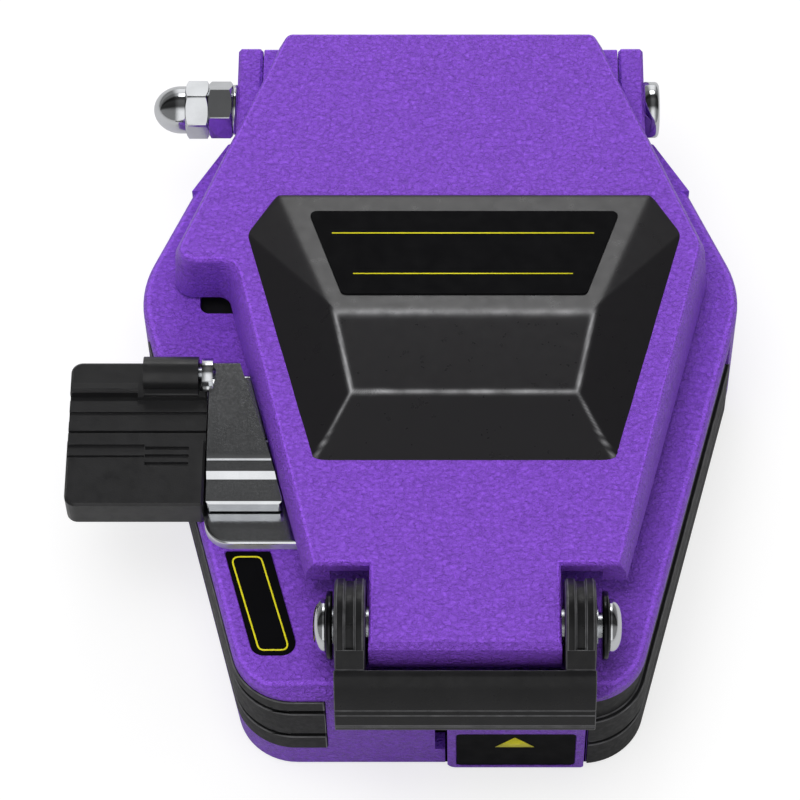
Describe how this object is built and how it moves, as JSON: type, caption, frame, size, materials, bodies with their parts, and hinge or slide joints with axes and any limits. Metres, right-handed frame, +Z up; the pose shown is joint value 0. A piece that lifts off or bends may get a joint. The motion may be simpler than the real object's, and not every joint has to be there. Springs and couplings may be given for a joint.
{
  "type": "fibre cleaver",
  "caption": "Bench fibre cleaver with a hinged lid, swing-down latch, push slider carrying a scoring wheel, sprung clamps and a fibre holder with flap.",
  "frame": {"origin": "centre line of the body on the underside of the anti-slip pad, the face that it rests on", "axes": "+Z up, +Y towards the lid hinge, +X to the user's right"},
  "size_m": [0.0886, 0.1003, 0.0344],
  "materials": {
    "purple_casting": "satin",
    "black_steel": "matte",
    "black_rubber": "matte",
    "grip_plastic": "satin",
    "label_film": "gloss",
    "pad_rubber": "matte",
    "machined_steel": "satin",
    "aluminium_parts": "satin",
    "polished_steel": "polished",
    "holder_plastic": "satin",
    "plated_steel": "polished",
    "cap_plastic": "satin",
    "latch_plastic": "satin",
    "blade_steel": "polished",
    "brass_parts": "satin",
    "spring_steel": "gloss"
  },
  "bodies": {
    "root": {"base_housing": "purple_casting", "bottom_cover": "black_steel", "bottom_cover_screws": "machined_steel", "anti_slip_pad": "black_rubber", "left_side_grip": "grip_plastic", "right_side_grip": "grip_plastic", "dust_label": "label_film", "lid_rest_insert": "black_rubber", "slider_rail": "machined_steel", "rail_screws": "machined_steel", "lower_clamp_blocks": "machined_steel", "lower_clamp_pads": "pad_rubber", "fibre_platform": "polished_steel", "platform_screws": "machined_steel", "fibre_holder": "holder_plastic", "holder_screws": "machined_steel", "flap_hinge_pin": "machined_steel", "hinge_bolt": "plated_steel", "hinge_washer": "plated_steel", "hinge_lock_nut": "plated_steel", "hinge_acorn_nut": "plated_steel"},
    "holder_flap": {"fibre_clamp_flap": "polished_steel", "flap_pad": "pad_rubber"},
    "lid": {"lid_shell": "purple_casting", "lid_cap": "cap_plastic", "cap_label": "label_film", "cap_screws": "machined_steel", "anvil": "machined_steel", "anvil_screw": "machined_steel", "clamp_guide_screws": "machined_steel", "clamp_springs": "spring_steel", "latch_axle": "machined_steel", "latch_washers": "plated_steel", "latch_screws": "plated_steel"},
    "clamp": {"clamp_carrier": "aluminium_parts", "upper_clamp_pads": "pad_rubber"},
    "latch": {"latch_bail": "latch_plastic"},
    "slider": {"slider_carriage": "aluminium_parts", "push_plate": "purple_casting", "push_label": "label_film", "blade_axle": "machined_steel", "return_spring": "spring_steel"},
    "blade": {"blade_wheel": "blade_steel", "blade_hub": "brass_parts", "blade_clamp_ring": "brass_parts"}
  },
  "joints": [
    {"name": "lid_hinge", "type": "hinge", "parent": "root", "child": "lid", "pos_m": [0, 0.0444, 0.024], "axis": [-1, 0, 0], "range_deg": [0, 60]},
    {"name": "latch_hinge", "type": "hinge", "parent": "lid", "child": "latch", "pos_m": [0.0033, -0.0365, 0.0273], "axis": [-1, 0, 0], "range_deg": [0, 95]},
    {"name": "clamp_press", "type": "slide", "parent": "lid", "child": "clamp", "axis": [0, 0, 1], "range_m": [0, 0.001], "stiffness_N_per_m": 1500, "springref_m": -0.001, "deforming": ["clamp_springs"]},
    {"name": "blade_slide", "type": "slide", "parent": "root", "child": "slider", "axis": [0, 1, 0], "range_m": [0, 0.02], "stiffness_N_per_m": 60, "springref_m": -0.01, "deforming": ["return_spring"]},
    {"name": "blade_index", "type": "hinge", "parent": "slider", "child": "blade", "pos_m": [0.01, -0.017, 0.0162], "axis": [1, 0, 0], "continuous": true},
    {"name": "holder_flap_hinge", "type": "hinge", "parent": "root", "child": "holder_flap", "pos_m": [-0.0302, 0.0008, 0.0266], "axis": [-1, 0, 0], "range_deg": [0, 100]}
  ]
}
